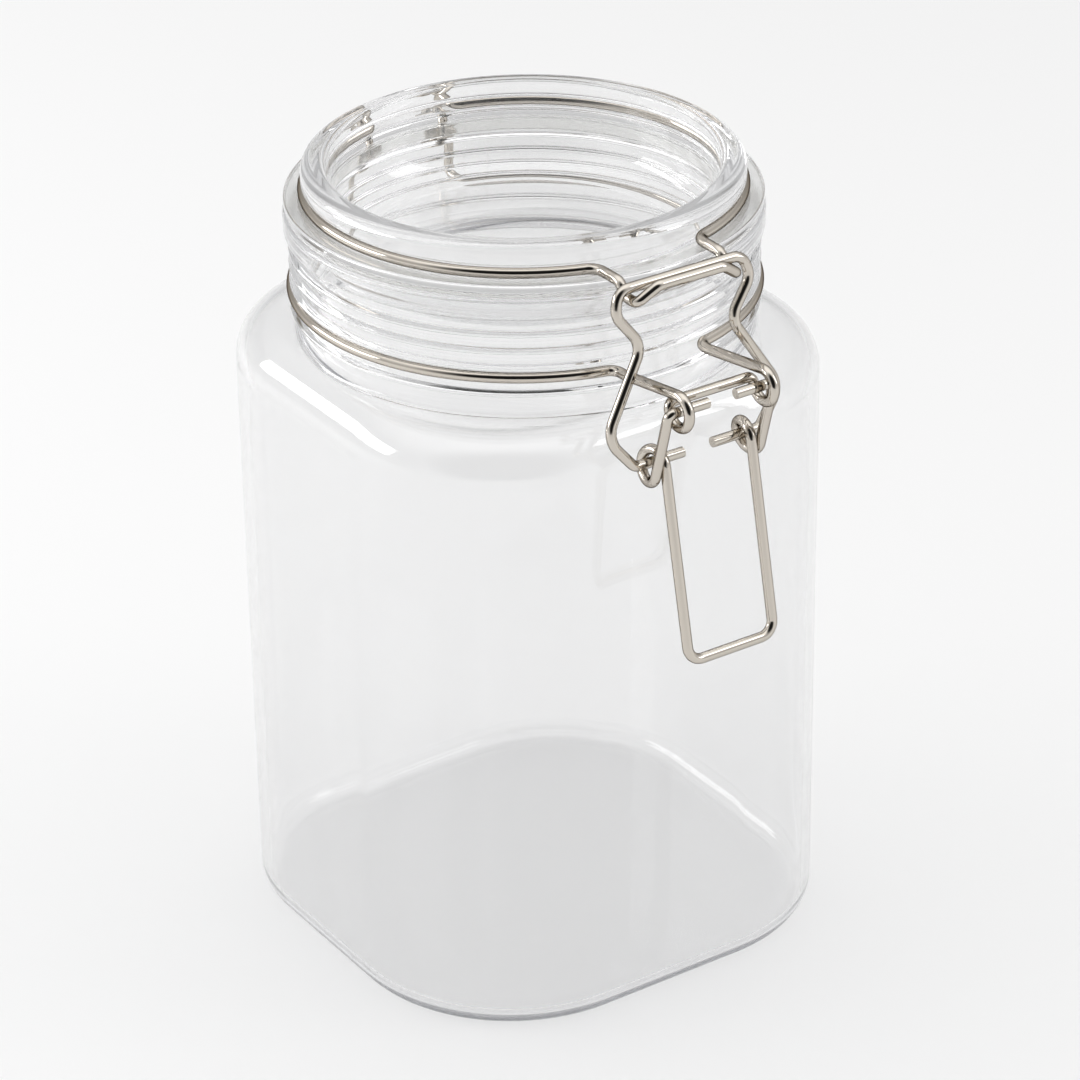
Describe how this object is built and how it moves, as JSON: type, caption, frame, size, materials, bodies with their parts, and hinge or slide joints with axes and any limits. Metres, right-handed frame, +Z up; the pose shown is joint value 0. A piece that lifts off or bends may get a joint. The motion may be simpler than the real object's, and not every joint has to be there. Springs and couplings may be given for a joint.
{
  "type": "storage jar",
  "caption": "Square clear plastic storage jar with a round neck, a sunken plug lid on a soft seal, a wire hinge and an over-centre wire clasp with a lever handle.",
  "frame": {"origin": "middle of the base, on the plane that the jar stands on", "axes": "+Z up along the neck's axis, -Y out of the clasp, +Y out of the hinge, X along the hinge"},
  "size_m": [0.125, 0.1508, 0.1995],
  "materials": {
    "clear_plastic_body": "clear moulded plastic, polished",
    "clear_plastic_lid": "clear moulded plastic, polished",
    "clear_silicone": "clear soft silicone, satin",
    "bright_wire": "bright plated steel wire"
  },
  "bodies": {
    "jar": {"jar_body": "clear_plastic_body", "neck_wire": "bright_wire"},
    "lid": {"lid": "clear_plastic_lid", "seal_ring": "clear_silicone", "lid_wire": "bright_wire"},
    "lever": {"lever_wire": "bright_wire"},
    "bail": {"bail_wire": "bright_wire"}
  },
  "joints": [
    {"name": "lid_hinge", "type": "hinge", "parent": "jar", "child": "lid", "pos_m": [0, 0.0618, 0.184], "axis": [-1, 0, 0], "range_deg": [0, 110]},
    {"name": "lever_swing", "type": "hinge", "parent": "jar", "child": "lever", "pos_m": [0, -0.0791, 0.1676], "axis": [-1, 0, 0], "range_deg": [0, 80]},
    {"name": "bail_swing", "type": "hinge", "parent": "lever", "child": "bail", "pos_m": [0, -0.06995, 0.1516], "axis": [1, 0, 0], "range_deg": [0, 160]}
  ],
  "couplings": [
    {"joint": "bail_swing", "follows": "lever_swing", "ratio": 2}
  ]
}
